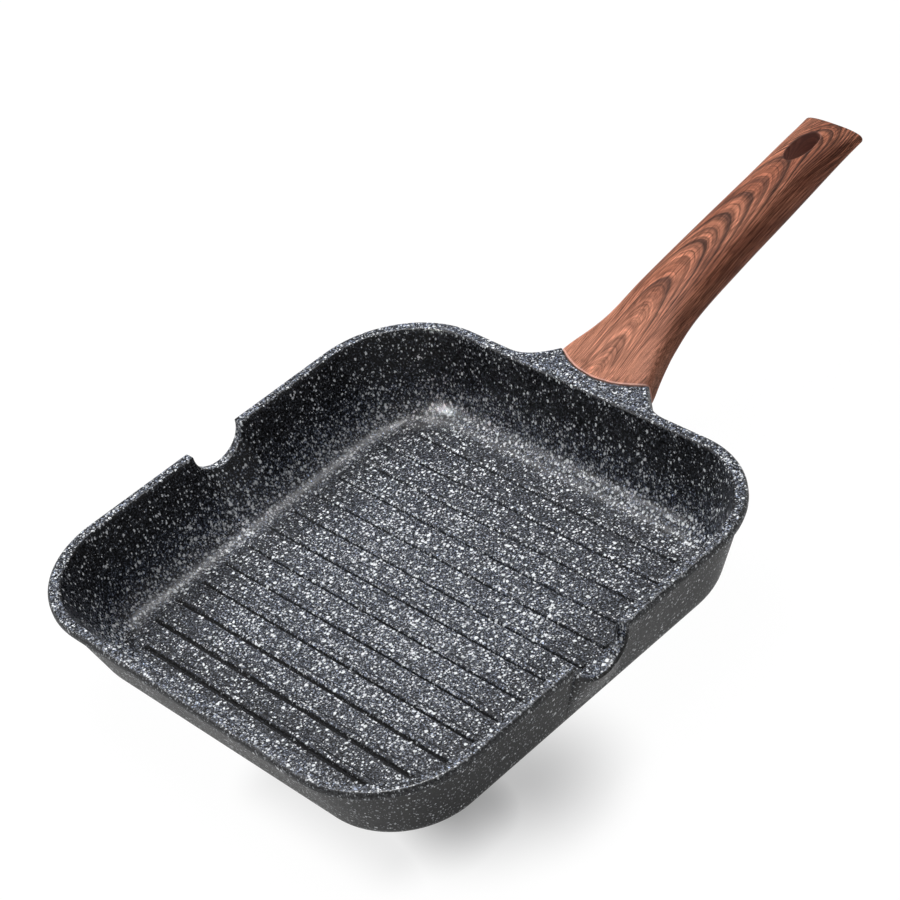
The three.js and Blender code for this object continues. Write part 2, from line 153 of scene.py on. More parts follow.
# Coat zones: where each one starts and is full, then its two values where they aren't 0 and 1;
# heights and places in metres, leans as parts of the surface normal
OUTSIDE_TILT = (0.03, 0.06)
OUTSIDE_LEAN = (0.0, -0.2)
OUTSIDE_SHARE = (0.044, 0.033, 0.45, 1.0)
WALL_HEIGHT = (0.01, 0.032)
WALL_TILT = (-0.012, -0.045)
RIB_LAYER = (0.0062, 0.0058)
RIB_AREA = (0.0915, 0.0905)
RIB_CREST = (0.0044, 0.0047)
# Rib sides, far slopes and near feet below: where the ribs' painted shade lies
RIB_SIDE_LEAN = (0.88, 0.6)
RIB_FAR_LEAN = (0.1, 0.26)
RIB_ENDS = (0.07, 0.0865, 0.0895, 0.0785)
RIB_END_SOFT = (0.001, -0.001)
FOOT_START = -0.0019
FOOT_SOFT = 0.0002
FOOT_WIDTH = (-0.03, -0.08, 0.0001, 0.0012)
FOOT_STOP = (-0.0014, -0.0017)
FOOT_SIDE = (-0.0008, -0.0012)
FAR_SHADE = (0.03, -0.06, 0.8, 0.6)
RIB_SHADE_STRENGTH = (0.05, -0.075, 0.5, 1.0)
# Floor edges and back below: where the walls' painted shade spreads onto the floor
EDGE_SHADE_START = (0.055, 0.082)
EDGE_SHADE_STOP = (0.0935, 0.0905)
EDGE_SHADE_SHARE = 0.6
BACK_SHADE_STRIP = (0.08, 0.088)
BACK_SHADE_STRIP_STOP = (0.1, 0.094, 0.0, 0.5)
BACK_FLOOR_SHADE = (0.02, 0.07, 0.0, 0.4)
RIM_HEIGHT = (0.0415, 0.043)
FILLET_START = (0.0042, 0.006)
FILLET_STOP = (0.015, 0.01)
FILLET_TILT = (-0.002, -0.012)
FLANGE_HEIGHT = (0.036, 0.042)
FLAT_LEAN = (0.996, 0.975)
BASE_HEIGHT = (0.0009, 0.0003)
BASE_LEAN = (-0.9, -0.98)
TURNED_PITCH = 0.0011
TURNED_EDGE = (0.0925, 0.0915)

# Coat colours
COAT_FLOOR = (0.0195, 0.0225, 0.03, 1.0)
# Ground of the painted shade on the walls and along the floor's edges
COAT_SHADED = (0.0075, 0.0082, 0.01, 1.0)
# Ground of the painted shade along the ribs
COAT_RIB_SHADE = (0.002, 0.0022, 0.0027, 1.0)
COAT_OUTSIDE = (0.0235, 0.0237, 0.024, 1.0)
# Painted light on the band under the rim
COAT_FLANGE_PAINTED_LIGHT = (0.039, 0.04, 0.042, 1.0)
BASE_PLAIN = (0.026, 0.026, 0.027, 1.0)
BASE_SCUFFED = (0.05, 0.05, 0.05, 1.0)
SPECK_SMALL = (0.5, 0.52, 0.55, 1.0)
SPECK_MIDDLE = (0.76, 0.785, 0.82, 1.0)
SPECK_WALL = (0.95, 0.97, 1.0, 1.0)
SPECK_LARGE = (0.9, 0.92, 0.94, 1.0)

# Wood figure, in metres: the crown line of the handle as height, slope and bend from the joint,
# then how the arches lie across it
WOOD_CROWN = (0.0446, 0.3599, 0.992)
WOOD_NEAR_JOINT = (0.19, 0.135)
WOOD_MIDDLE = 0.0012
WOOD_TIP_SHIFT = (0.258, 0.29, 0.0, 0.004)
WOOD_NARROWING = 1.3
WOOD_DEPTH_SHARE = 1.3
WOOD_SWAY = 0.008
WOOD_FRAY = 0.0018
WOOD_LEGS = 3700.0
WOOD_ARCH = 0.0062
WOOD_FLANK = (0.00003, 0.00012)
WOOD_EDGE = (0.00009, 0.00023)
WOOD_PAST_ARCHES = (0.27, 0.276)
WOOD_FLANK_SHADE = (0.004, 0.0105, 1.0, 0.76)
WOOD_TIP_SHADE = (0.262, 0.284, 1.0, 0.85)

# Wood colours
WOOD_DEEP = (0.305, 0.108, 0.063, 1.0)
WOOD_PALE = (0.465, 0.182, 0.109, 1.0)
WOOD_JOINT_END = (0.6, 0.258, 0.163, 1.0)
WOOD_WEAK_RING = (0.1, 0.036, 0.025, 1.0)
WOOD_FINE_RING = (0.05, 0.025, 0.019, 1.0)
WOOD_STRONG_RING = (0.034, 0.02, 0.017, 1.0)
WOOD_STREAK = (0.05, 0.02, 0.015, 1.0)
WOOD_PORE = (0.05, 0.022, 0.016, 1.0)
# Painted shade in the hanging hole, then a painted highlight on the edge at the joint
WOOD_HOLE_SHADE = (0.22, 0.11, 0.09, 1.0)
WOOD_JOINT_HIGHLIGHT = (0.85, 0.5, 0.42, 1.0)

# Zinc colours
ZINC_DULL = (0.5, 0.51, 0.53, 1.0)
ZINC_BRIGHT = (0.66, 0.67, 0.68, 1.0)

# Strong rings along the handle, in metres: place, darkness, run-in and run-out of each
WOOD_START = 0.12
WOOD_SPAN = 0.17
WOOD_RINGS = [
    (0.1475, 0.5, 0.013, 0.004),
    (0.1705, 0.3, 0.004, 0.002),
    (0.1795, 0.95, 0.006, 0.0022),
    (0.1915, 0.3, 0.004, 0.002),
    (0.2045, 0.95, 0.0065, 0.0024),
    (0.2135, 0.8, 0.005, 0.002),
    (0.224, 1.0, 0.007, 0.0026),
    (0.239, 0.95, 0.0075, 0.0022),
    (0.2495, 0.75, 0.005, 0.002),
    (0.265, 0.9, 0.007, 0.0024),
]

# Soft shadow on the floor: a line where it is deepest, its reach and its depth
SHADOWS = [
    (((0.1, -0.07), (0.103, -0.062)), 0.043, 0.74),
    (((0.102, -0.056), (0.11, -0.044)), 0.057, 0.57),
    (((0.028, -0.1), (0.096, -0.1)), 0.026, 0.22),
]
SHADOW_FAR = 0.015
STUDIO_HALF = 6.0
STUDIO_LOW = -0.0002

# Soft boxes: name, place, size, power, whether it is a sheen; for a spot, its aim and spread too
PAN_MIDDLE = (0.0, 0.03, 0.0)
LIGHTS = [
    ("key", (-0.75, 0.4, 0.96), (0.6, 0.5), 20.3, False),
    ("fill", (0.85, -0.8, 0.55), (0.5, 0.5), 2.2, False),
    ("sheen_left", (-0.15, 0.64, 1.16), (0.5, 0.4), 9.5, True),
    ("sheen_corner", (-0.33, 0.13, 1.28), (0.4, 0.4), 30.0, True),
    ("sheen_back", (-0.78, -0.01, 1.04), (0.4, 0.4), 5.2, True),
    ("sheen_front", (-0.68, -0.75, 0.7), (0.35, 0.35), 4.8, True),
    ("sheen_spot", (-0.36, -0.8, 0.92), (0.14, 0.14), 0.24, True, (-0.082, 0.082, 0.008), 5.0),
    ("sheen_side", (-0.36, -0.8, 0.92), (0.14, 0.14), 0.085, True, (0.05, 0.096, 0.008), 8.0),
]
WORLD_LIGHT = (0.18, 0.182, 0.187, 1.0)

CAMERA_PLACE = (0.706771, -0.486785, 0.752134)
CAMERA_AZIMUTH = math.radians(53.33834)
CAMERA_ELEVATION = math.radians(38.0782)
CAMERA_ROLL = math.radians(13.27507)
CAMERA_LENS = 106.1485
CAMERA_SENSOR = 36.0

BLACK = (0.0, 0.0, 0.0, 1.0)
WHITE = (1.0, 1.0, 1.0, 1.0)


# Mesh helpers


def make_piece(name, verts, faces, material, crease, unit=MM):
    """Mesh object, smooth except across edges sharper than the crease in degrees."""
    mesh = bpy.data.meshes.new(name)
    mesh.from_pydata((np.asarray(verts, float) * unit).tolist(), [], faces)
    mesh.validate()
    mesh.update()
    mesh.shade_smooth()
    mesh.set_sharp_from_angle(angle=math.radians(crease))
    mesh.materials.append(material)
    piece = bpy.data.objects.new(name, mesh)
    bpy.context.scene.collection.objects.link(piece)
    return piece


class Skin:
    """Vertices and faces of one mesh, put together ring by ring."""

    def __init__(self):
        self.verts = []
        self.faces = []

    def add(self, points):
        start = len(self.verts)
        self.verts.extend(tuple(float(c) for c in p) for p in points)
        return list(range(start, start + len(points)))

    def bridge(self, lower, upper):
        count = len(lower)
        for i in range(count):
            j = (i + 1) % count
            self.faces.append((lower[i], lower[j], upper[j], upper[i]))

    def strip(self, loops, turned=False):
        for lower, upper in zip(loops, loops[1:]):
            self.bridge(*((upper, lower) if turned else (lower, upper)))

    def loft(self, rings):
        loops = [self.add(ring) for ring in rings]
        self.strip(loops)
        return loops

    def cap(self, loop, forward):
        middle = np.mean([self.verts[i] for i in loop], axis=0)
        hub = self.add([middle])[0]
        count = len(loop)
        for i in range(count):
            a, b = loop[i], loop[(i + 1) % count]
            self.faces.append((a, b, hub) if forward else (b, a, hub))


def quarter_turns(count, first=0):
    return [math.pi / 2 * i / count for i in range(first, count + 1)]


def smooth_min(a, b, width):
    share = max(0.0, min(1.0, 0.5 + 0.5 * (b - a) / width))
    return b + (a - b) * share - width * share * (1 - share)


def signed_power(value, power):
    return math.copysign(abs(value) ** power, value)


def bow(x, radius):
    return radius - math.sqrt(max(0.0, radius * radius - x * x))


def along(column, y):
    """Smooth value of one column of the handle's table."""
    table = HANDLE_STATIONS
    last = len(table) - 1
    if y <= table[0][0]:
        return table[0][column]
    if y >= table[last][0]:
        return table[last][column]
    k = 0
    while y > table[k + 1][0]:
        k += 1

    def slope(i):
        lo, hi = max(0, i - 1), min(last, i + 1)
        return (table[hi][column] - table[lo][column]) / (table[hi][0] - table[lo][0])

    span = table[k + 1][0] - table[k][0]
    t = (y - table[k][0]) / span
    t2, t3 = t * t, t * t * t
    return (
        (2 * t3 - 3 * t2 + 1) * table[k][column]
        + (t3 - 2 * t2 + t) * span * slope(k)
        + (3 * t2 - 2 * t3) * table[k + 1][column]
        + (t3 - t2) * span * slope(k + 1)
    )


# Pan casting


def lip_stations():
    """Half of a side wall from the middle of the lip outwards, as kinds of station."""
    rows = [("arc", turn) for turn in quarter_turns(26)]
    rows += [("edge", math.pi / 2 * (1 - i / 5)) for i in range(1, 6)]
    rows += [("flat", share) for share in (0.03, 0.08, 0.15, 0.25, 0.4, 0.6, 0.8, 1.0)]
    return rows + [("plain", offset) for offset in (36.0, 43.0, 51.0, 60.0)]


def lip_edge(row, depth):
    """Offset along the wall, height above the rim and share of the lip, at a small depth."""
    kind, value = row
    if kind == "arc":
        reach = LIP_RADIUS + depth
        more = max(0.0, depth - LIP_ROUND) * math.sin(value) ** 4
        low = -LIP_ROUND - (LIP_DEPTH + depth) * math.cos(value) - more
        return reach * math.sin(value), low, 1.0
    if kind == "edge":
        left = max(LIP_ROUND - depth, LIP_SLIVER)
        at = LIP_RADIUS + max(LIP_ROUND, depth)
        low = -max(LIP_ROUND, depth)
        return at - left * math.sin(value), low + left * math.cos(value), 1.0
    if kind == "flat":
        start = LIP_RADIUS + max(LIP_ROUND, depth) + LIP_SEAM
        share = max(0.0, 1 - LIP_FADE * value)
        return start + (LIP_SIDE - start) * value, -depth, share
    return value, -depth, 0.0


def stub_push(x):
    """How far the outside of the handle's wall is pushed out at a distance from the middle."""
    x = abs(x)
    base = JOINT_Y - JOINT_GAP - SIDE / 2
    face = base + bow(min(x, JOINT_RADIUS), JOINT_RADIUS + JOINT_GAP)
    full = base + bow(STUB_HALF_WIDTH, JOINT_RADIUS + JOINT_GAP)
    t = min(1.0, (x - STUB_HALF_WIDTH) / STUB_FLARE)
    side = full * max(0.0, 1 - t) ** STUB_FLARE_POWER
    return max(0.0, smooth_min(face, side, STUB_BLEND))


def pan_stations():
    """Stations round the pan, counter-clockwise from the right side."""
    rows = lip_stations()
    side = [(-1, r) for r in reversed(rows[1:])] + [(1, r) for r in rows]
    across = [-x for x in reversed(STUB_PLACES[1:])] + list(STUB_PLACES)
    corner = [i / 26 for i in range(27)]
    found = []
    for face in range(4):
        if face in (0, 2):
            order = side if face == 0 else [(-s, r) for s, r in side]
            found += [("lip", face, s, r) for s, r in order]
        elif face == 1:
            found += [("stub", face, x, None) for x in reversed(across)]
        else:
            found += [("wall", face, x, None) for x in (-60, -45, -30, -15, 0, 15, 30, 45, 60)]
        found += [("corner", face, t, None) for t in corner]
    return found


def pan_ring(stations, half, depth, outside):
    """One level of the pan's skin: half size, depth below the rim, and whether it lies outside."""
    radius = CORNER_RADIUS - CORNER_SHRINK * (SIDE / 2 - half)
    straight = half - radius
    inner = SIDE / 2 - RIM_WIDTH
    top = RIM_ROUND if outside else INNER_ROUND
    reach = LIP_OUTER_REACH if outside else LIP_REACH
    ring = []
    for kind, face, value, row in stations:
        if kind == "corner":
            turn = (face + value) * math.pi / 2
            middle = (face + 0.5) * math.pi / 2
            cx = math.copysign(straight, math.cos(middle))
            cy = math.copysign(straight, math.sin(middle))
            x, y = cx + radius * math.cos(turn), cy + radius * math.sin(turn)
            ring.append((x, y, HEIGHT - depth))
            continue
        if kind == "wall":
            ring.append((value, -half, HEIGHT - depth))
            continue
        if kind == "stub":
            push = 0.0
            if outside:
                fade = (STUB_GUSSET - depth) / (STUB_GUSSET - STUB_DEPTH)
                share = min(1.0, max(0.0, fade)) ** STUB_FADE_POWER
                out = stub_push(value)
                upright = min(1.0, out / STUB_UPRIGHT) if depth > RIM_ROUND else 0.0
                push = share * (out + upright * (SIDE / 2 - half))
            ring.append((value, half + push, HEIGHT - depth))
            continue
        if depth <= top:
            offset, low, share = lip_edge(row, depth)
            at = half
        else:
            offset, low, share = lip_edge(row, top)
            if depth < reach:
                t = (depth - top) / (reach - top)
                if outside:
                    high, foot = SIDE / 2, SIDE / 2 - FLANGE_OVERHANG - WALL_DRAFT * reach
                else:
                    high, foot = inner - INNER_DRAFT * INNER_ROUND, inner - INNER_DRAFT * reach
                at = half + share * (high + (foot - high) * t - half)
                low = low + (-reach - low) * t
            else:
                at, low = half, -depth
        ring.append(((at if face == 0 else -at), value * offset, HEIGHT + low))
    return ring


def pan_levels():
    """Half size, depth and side of each level, from the base round the rim to the floor."""
    slope = math.atan(WALL_DRAFT)
    centre = HEIGHT - BASE_FILLET

    def wall(depth):
        return SIDE / 2 - FLANGE_OVERHANG - WALL_DRAFT * depth

    def arc(axis, depth, radius, start, sweep, steps, outside):
        turns = [start + sweep * i / steps for i in range(steps + 1)]
        return [
            (axis + radius * math.cos(t), depth - radius * math.sin(t), outside) for t in turns
        ]

    axis = wall(centre) - BASE_FILLET / math.cos(slope)
    levels = arc(axis, centre, BASE_FILLET, -math.pi / 2, math.pi / 2 - slope, 14, True)
    levels += [(wall(depth), depth, True) for depth in WALL_DEPTHS]
    for i in range(8):
        t = i / 7
        ease = t * t * (3 - 2 * t)
        depth = FLANGE_DROP + (FLANGE_BAND - FLANGE_DROP) * t
        levels.append((wall(FLANGE_DROP) + (SIDE / 2 - wall(FLANGE_DROP)) * ease, depth, True))
    levels.append((SIDE / 2, FLANGE_LEVEL, True))
    levels += arc(SIDE / 2 - RIM_ROUND, RIM_ROUND, RIM_ROUND, 0.0, math.pi / 2, 6, True)
    levels += [(half, 0.0, True) for half in RIM_HALVES]
    inner = SIDE / 2 - RIM_WIDTH
    inner_slope = math.atan(INNER_DRAFT)
    for i in range(7):
        turn = math.pi / 2 - math.pi / 2 * i / 6
        half = inner + INNER_ROUND - INNER_ROUND * math.cos(turn)
        half -= INNER_DRAFT * INNER_ROUND * (i / 6) ** 3
        levels.append((half, INNER_ROUND * (1 - math.sin(turn)), False))

    def inside(depth):
        return inner - INNER_DRAFT * depth

    levels += [(inside(depth), depth, False) for depth in INNER_DEPTHS]
    middle = HEIGHT - FLOOR_THICKNESS - FLOOR_FILLET
    floor_axis = inside(middle) - FLOOR_FILLET / math.cos(inner_slope)
    sweep = inner_slope - math.pi / 2
    levels += arc(floor_axis, middle, FLOOR_FILLET, -inner_slope, sweep, 18, False)
    return levels, floor_axis


def handle_middle(y):
    return HEIGHT + TANG_HIGH * along(2, y) + (1 - TANG_HIGH) * along(3, y)


def tang_outline(y, grow, count):
    """Rounded bar section of the tang at a station, counted clockwise seen from the tip."""
    share = max(0.0, (y - JOINT_Y) / (TANG_END_Y - JOINT_Y))
    half = TANG_WIDTH / 2 * (1 - (1 - TANG_TAPER) * share) + grow
    thick = TANG_THICKNESS / 2 + grow
    middle = handle_middle(max(y, JOINT_Y))
    points = []
    for i in range(count):
        turn = -2 * math.pi * i / count
        c, s = math.cos(turn), math.sin(turn)
        x = half * signed_power(c, TANG_SIDE_POWER)
        z = thick * signed_power(s, TANG_FACE_POWER)
        points.append((x, y, middle + z))
    return points


def rib_rings(y, reach):
    """Rings of one rib from its foot to its crest, each with two round ends."""
    rings = []
    middle = reach - RIB_FOOT / 2
    for half, up in RIB_PROFILE:
        z = FLOOR_THICKNESS + up
        ring = []
        for end in (1, -1):
            for i in range(13):
                turn = -end * math.pi / 2 + math.pi * i / 12
                ring.append((end * middle + half * math.cos(turn), y + half * math.sin(turn), z))
            for i in range(1, 24):
                ring.append((end * middle * (1 - 2 * i / 24), y + end * half, z))
        rings.append(ring)
    return rings


def build_pan(material):
    skin = Skin()
    levels, floor_half = pan_levels()
    stations = pan_stations()
    rings = [np.array(pan_ring(stations, *level)) for level in levels]
    first, last = rings[0], rings[-1]
    shrink = np.array([CAP_SHARE, CAP_SHARE, 1.0])
    loops = skin.loft([first * shrink] + rings + [last * shrink])
    skin.cap(loops[0], False)
    skin.cap(loops[-1], True)
    floor_radius = CORNER_RADIUS - CORNER_SHRINK * (SIDE / 2 - floor_half)
    straight = floor_half - floor_radius
    for i in range(RIB_COUNT):
        y = (i - (RIB_COUNT - 1) / 2) * RIB_PITCH
        over = max(0.0, abs(y) + RIB_FOOT / 2 - straight)
        limit = straight + math.sqrt(max(0.0, floor_radius**2 - over**2))
        rib = skin.loft(rib_rings(y, min(RIB_REACH, limit - RIB_END_MARGIN)))
        skin.cap(rib[-1], True)
        skin.cap(rib[0], False)
    stretch = TANG_END_Y - TANG_START_Y
    places = [TANG_START_Y + stretch * k / TANG_STEPS for k in range(TANG_STEPS + 1)]
    bars = skin.loft([tang_outline(y, 0.0, TANG_POINTS) for y in places])
    skin.cap(bars[0], False)
    skin.cap(bars[-1], True)
    return make_piece("pan_casting", skin.verts, skin.faces, material, crease=42.0)


# Handle


def end_share(y):
    return max(0.0, (y - HANG_Y) / (HANDLE_END_Y - HANG_Y))


def handle_ring(y, shrink):
    fade = max(0.0, 1 - (y - JOINT_Y) / (JOINT_FADE_Y - JOINT_Y))
    reach = along(1, y + fade * bow(STUB_HALF_WIDTH, JOINT_RADIUS)) - shrink
    square = along(4, y)
    ring = []
    for i in range(HANDLE_POINTS):
        turn = -2 * math.pi * i / HANDLE_POINTS
        c, s = math.cos(turn), math.sin(turn)
        x = reach * signed_power(c, 2 / square)
        at = y + fade * bow(x, JOINT_RADIUS) + HANDLE_END_BOW * end_share(y) ** 2 * (x / reach) ** 2
        top = along(2, at) - shrink - JOINT_DROP * fade**2
        under = along(3, at) + shrink
        up = signed_power(s, 2 / square)
        ring.append((x, at, HEIGHT + (top + under) / 2 + (top - under) / 2 * up))
    return ring


def handle_surface(x, at, side):
    """Height of the handle's top or underside over a point, past the bowed joint."""
    y = at
    for _ in range(3):
        y = at - HANDLE_END_BOW * end_share(y) ** 2 * (x / along(1, y)) ** 2
    square = along(4, y)
    top, under = along(2, at), along(3, at)
    rise = max(0.0, 1 - abs(x / along(1, y)) ** square) ** (1 / square)
    return HEIGHT + (top + under) / 2 + side * (top - under) / 2 * rise


def block_loop(rows, columns):
    """Grid places round a block of rows and columns, in order."""
    loop = [(rows[0], j) for j in columns]
    loop += [(i, columns[-1]) for i in rows[1:]]
    loop += [(rows[-1], j) for j in reversed(columns[:-1])]
    loop += [(i, columns[0]) for i in reversed(rows[1:-1])]
    return loop


def screw_axes():
    """Origin and local axes of the fixing screw: across, along the tang and up out of it."""
    rise = handle_middle(SCREW_Y + 1) - handle_middle(SCREW_Y - 1)
    tilt = math.atan2(rise, 2.0)
    origin = np.array((0.0, SCREW_Y, handle_middle(SCREW_Y)))
    right = np.array((1.0, 0, 0))
    ahead = np.array((0, math.cos(tilt), math.sin(tilt)))
    up = np.array((0, -math.sin(tilt), math.cos(tilt)))
    return origin, right, ahead, up


def surface_ring(points, edge, share, side):
    """Ring on the handle's top or underside, part of the way from some points to an edge."""
    ring = []
    for p, e in zip(points, edge):
        x, y = p[0] + (e[0] - p[0]) * share, p[1] + (e[1] - p[1]) * share
        ring.append((x, y, handle_surface(x, y, side)))
    return ring


def line_hanging_hole(skin, top_loop, under_loop):
    """Surface rings, rounded edge and wall of the oval hole, from the top to the underside."""
    half_w, half_l = HANG_WIDTH / 2, HANG_LENGTH / 2
    top_points = [skin.verts[v] for v in top_loop]
    turns = [math.atan2((p[1] - HANG_Y) / half_l, p[0] / half_w) for p in top_points]

    def oval(grow):
        wide, long = half_w + grow, half_l + grow
        return [(wide * math.cos(t), HANG_Y + long * math.sin(t)) for t in turns]

    def edge_loops(loop, side):
        points = [skin.verts[v] for v in loop]
        made = [surface_ring(points, oval(HANG_ROUND), k / 8, side) for k in range(1, 9)]
        for turn in quarter_turns(6, 1):
            grown = oval(HANG_ROUND * (1 - math.sin(turn)))
            sunk = HANG_ROUND * (1 - math.cos(turn))
            made.append([(x, y, handle_surface(x, y, side) - side * sunk) for x, y in grown])
        return [skin.add(ring) for ring in made]

    upper, lower = edge_loops(top_loop, 1), edge_loops(under_loop, -1)
    above = np.array([skin.verts[v] for v in upper[-1]])
    below = np.array([skin.verts[v] for v in lower[-1]])
    wall = [skin.add(above + (below - above) * (k / 8)) for k in range(1, 8)]
    skin.strip([top_loop] + upper + wall + lower[::-1] + [under_loop], True)


def line_screw_pocket(skin, loop):
    """Pocket in the underside, down to the seat of the washers and the hole for the screw."""
    origin, right, ahead, up = screw_axes()
    points = [np.array(skin.verts[v]) for v in loop]

    def meet(turn, radius):
        """A line along the screw's axis: its start, and where on it the underside lies."""
        base = origin + radius * (math.cos(turn) * right + math.sin(turn) * ahead)
        low, high = -POCKET_SEARCH, 0.0
        for _ in range(40):
            t = (low + high) / 2
            p = base + t * up
            if p[2] > handle_surface(p[0], p[1], -1):
                high = t
            else:
                low = t
        return base, (low + high) / 2

    def rounded_ring(turn_in):
        ring = []
        for turn in bearings:
            base, t = meet(turn, POCKET_RADIUS + POCKET_ROUND * (1 - math.sin(turn_in)))
            ring.append(base + (t + POCKET_ROUND * (1 - math.cos(turn_in))) * up)
        return ring

    middle = origin + meet(0.0, 0.001)[1] * up
    bearings = [math.atan2((p - middle) @ ahead, (p - middle) @ right) for p in points]
    edge = rounded_ring(0.0)
    rings = [surface_ring(points, edge, k / 5, -1) for k in range(1, 6)]
    rings += [rounded_ring(turn) for turn in quarter_turns(4, 1)]
    rim = rings[-1]
    for share in (0.35, 0.7, 1.0):
        rings.append([p + share * (-SEAT_DEPTH - (p - origin) @ up) * up for p in rim])
    seat = []
    for turn in bearings:
        out = math.cos(turn) * right + math.sin(turn) * ahead
        seat.append(origin - SEAT_DEPTH * up + SCREW_HOLE_RADIUS * out)
    rings += [seat, [p + SCREW_HOLE_DEPTH * up for p in seat]]
    skin.strip([loop] + [skin.add(ring) for ring in rings])


def build_handle(material):
    skin = Skin()
    ys = [JOINT_Y + JOINT_EDGE * (1 - math.cos(turn)) for turn in quarter_turns(4)]
    shrinks = [JOINT_EDGE * (1 - math.sin(turn)) for turn in quarter_turns(4)]
    start, stop = ys[-1], HANDLE_END_Y - HANDLE_END_ROUND
    for i in range(1, HANDLE_ROWS + 1):
        ys.append(start + (stop - start) * i / HANDLE_ROWS)
        shrinks.append(0.0)
    for turn in quarter_turns(6, 1):
        ys.append(stop + HANDLE_END_ROUND * math.sin(turn))
        shrinks.append(HANDLE_END_ROUND * (1 - math.cos(turn)))
    rings = [handle_ring(y, s) for y, s in zip(ys, shrinks)]
    loops = [skin.add(ring) for ring in rings]

    # The ring runs from +X under the handle, so the underside comes first
    def under(block, wide):
        quarter = HANDLE_POINTS // 4
        rows = [i for i, y in enumerate(ys) if block[0] < y < block[1]]
        return rows, list(range(quarter - wide, quarter + wide + 1))

    hang_under = under(HANG_BLOCK, HANG_COLUMNS)
    hang_top = hang_under[0], [HANDLE_POINTS - j for j in hang_under[1]]
    blocks = (hang_top, hang_under, under(POCKET_BLOCK, POCKET_COLUMNS))
    removed = set()
    for rows, columns in blocks:
        for i in rows[:-1]:
            removed.update((i, j) for j in range(min(columns), max(columns)))
    for i in range(len(loops) - 1):
        for j in range(HANDLE_POINTS):
            if (i, j) not in removed:
                k = (j + 1) % HANDLE_POINTS
                skin.faces.append((loops[i][j], loops[i][k], loops[i + 1][k], loops[i + 1][j]))
    edges = [[loops[i][j] for i, j in block_loop(*block)] for block in blocks]
    line_hanging_hole(skin, edges[0], edges[1])
    line_screw_pocket(skin, edges[2])

    # Tip, closed by rings that keep the end's bow
    tip = np.array(rings[-1])
    middle_z = HEIGHT + (along(2, HANDLE_END_Y) + along(3, HANDLE_END_Y)) / 2
    ends = [loops[-1]]
    for share in (0.8, 0.55, 0.3, 0.1):
        ring = []
        for p in tip:
            y = HANDLE_END_Y + (p[1] - HANDLE_END_Y) * share**2
            ring.append((p[0] * share, y, middle_z + (p[2] - middle_z) * share))
        ends.append(skin.add(ring))
    skin.strip(ends)
    skin.cap(ends[-1], True)

    # Joint face and socket for the tang
    inner = [loops[0]]
    outline = tang_outline(JOINT_Y, SOCKET_CLEARANCE, HANDLE_POINTS)
    for share in (0.33, 0.67, 1.0):
        ring = []
        for p, q in zip(rings[0], outline):
            x = p[0] + (q[0] - p[0]) * share
            ring.append((x, JOINT_Y + bow(x, JOINT_RADIUS), p[2] + (q[2] - p[2]) * share))
        inner.append(skin.add(ring))
    for y in SOCKET_PLACES:
        inner.append(skin.add(tang_outline(y, SOCKET_CLEARANCE, HANDLE_POINTS)))
    skin.strip(inner, True)
    skin.cap(inner[-1], False)
    return make_piece("handle_moulding", skin.verts, skin.faces, material, crease=40.0)


def build_fastener(node, name, material):
    """Smooth-shaded copy of a turned fastener from the frame."""
    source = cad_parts[node].data
    places = {}
    index = []
    for v in source.vertices:
        key = tuple(round(c, 7) for c in v.co)
        index.append(places.setdefault(key, len(places)))
    faces = [tuple(index[i] for i in p.vertices) for p in source.polygons]
    faces = [f for f in faces if len(set(f)) == len(f)]
    return make_piece(name, list(places), faces, material, crease=32.0, unit=1.0)


# Material helpers


